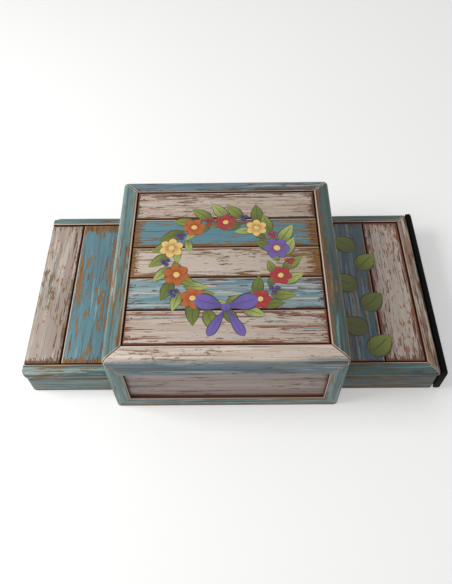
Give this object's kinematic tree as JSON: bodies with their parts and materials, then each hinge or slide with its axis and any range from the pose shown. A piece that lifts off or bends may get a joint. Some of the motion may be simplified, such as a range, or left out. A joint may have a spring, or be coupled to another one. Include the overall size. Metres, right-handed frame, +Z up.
{
  "type": "jack in the box",
  "caption": "Painted plank toy box with a square lidded tower between two low wings; the lid lifts on hinges, a sprung jack rises and a pull bar frees the lid.",
  "frame": {"origin": "middle of the tower's underside, on the surface the box stands on", "axes": "+X to the right along the row of tower and wings, +Y to the back where the hinges are, +Z up"},
  "size_m": [0.3632, 0.1993, 0.0805],
  "materials": {
    "teal_paint": "weathered teal paint on planks, worn through to tan wood",
    "blue_paint": "weathered pale blue paint on planks, worn through to tan wood",
    "whitewash": "streaked whitewash over red-brown wood",
    "bare_wood": "plain sawn wood, unpainted",
    "black_bar": "satin black paint",
    "steel": "zinc-plated steel",
    "brass": "rolled brass",
    "spring_steel": "drawn spring wire",
    "jack_body_paint": "satin purple paint on turned wood",
    "jack_skin_paint": "satin warm cream paint on turned wood",
    "ruff_cloth": "pleated cotton",
    "cap_felt": "wool felt"
  },
  "bodies": {
    "case": {"back_board": "teal_paint", "bottom_board": "bare_wood", "case_screws": "brass", "front_board": "whitewash", "front_bottom_rail": "blue_paint", "front_left_stile": "teal_paint", "front_right_stile": "teal_paint", "front_top_rail": "blue_paint", "hinge_left_case_leaf": "brass", "hinge_pins": "steel", "hinge_right_case_leaf": "brass", "jack_spring": "spring_steel", "left_wall": "teal_paint", "left_wing_back": "teal_paint", "left_wing_back_rail": "teal_paint", "left_wing_deck": "bare_wood", "left_wing_end": "teal_paint", "left_wing_floor": "bare_wood", "left_wing_front": "teal_paint", "left_wing_front_rail": "teal_paint", "left_wing_inner_plank": "blue_paint", "left_wing_ledger": "bare_wood", "left_wing_outer_plank": "whitewash", "right_wall": "teal_paint", "right_wing_back": "teal_paint", "right_wing_back_rail": "teal_paint", "right_wing_deck": "bare_wood", "right_wing_end": "teal_paint", "right_wing_end_rail": "whitewash", "right_wing_floor": "bare_wood", "right_wing_front": "teal_paint", "right_wing_front_rail": "teal_paint", "right_wing_inner_plank": "blue_paint", "right_wing_ledger": "bare_wood", "right_wing_outer_plank": "whitewash", "spring_plate": "bare_wood"},
    "lid": {"hinge_left_lid_leaf": "brass", "hinge_right_lid_leaf": "brass", "lid_back_rail": "teal_paint", "lid_backing": "bare_wood", "lid_front_rail": "whitewash", "lid_left_rail": "teal_paint", "lid_plank_1": "whitewash", "lid_plank_2": "blue_paint", "lid_plank_3": "whitewash", "lid_plank_4": "blue_paint", "lid_plank_5": "whitewash", "lid_right_rail": "teal_paint", "lid_screws": "brass", "lid_strap": "steel"},
    "jack": {"jack_bells": "brass", "jack_body": "jack_body_paint", "jack_cap": "cap_felt", "jack_head": "jack_skin_paint", "jack_ruff": "ruff_cloth"},
    "release": {"release_bar": "black_bar", "release_dowels": "bare_wood", "release_rod": "steel"}
  },
  "joints": [
    {"name": "lid_hinge", "type": "hinge", "parent": "case", "child": "lid", "pos_m": [0, 0.0998, 0.0713], "axis": [-1, 0, 0], "range_deg": [0, 105]},
    {"name": "jack_rise", "type": "slide", "parent": "case", "child": "jack", "axis": [0, 0, 1], "range_m": [0, 0.13], "deforming": ["jack_spring"]},
    {"name": "release_pull", "type": "slide", "parent": "case", "child": "release", "axis": [1, 0, 0], "range_m": [0, 0.008]}
  ],
  "couplings": [
    {"joint": "jack_rise", "follows": "lid_hinge", "m_per_rad": 0.07093}
  ]
}
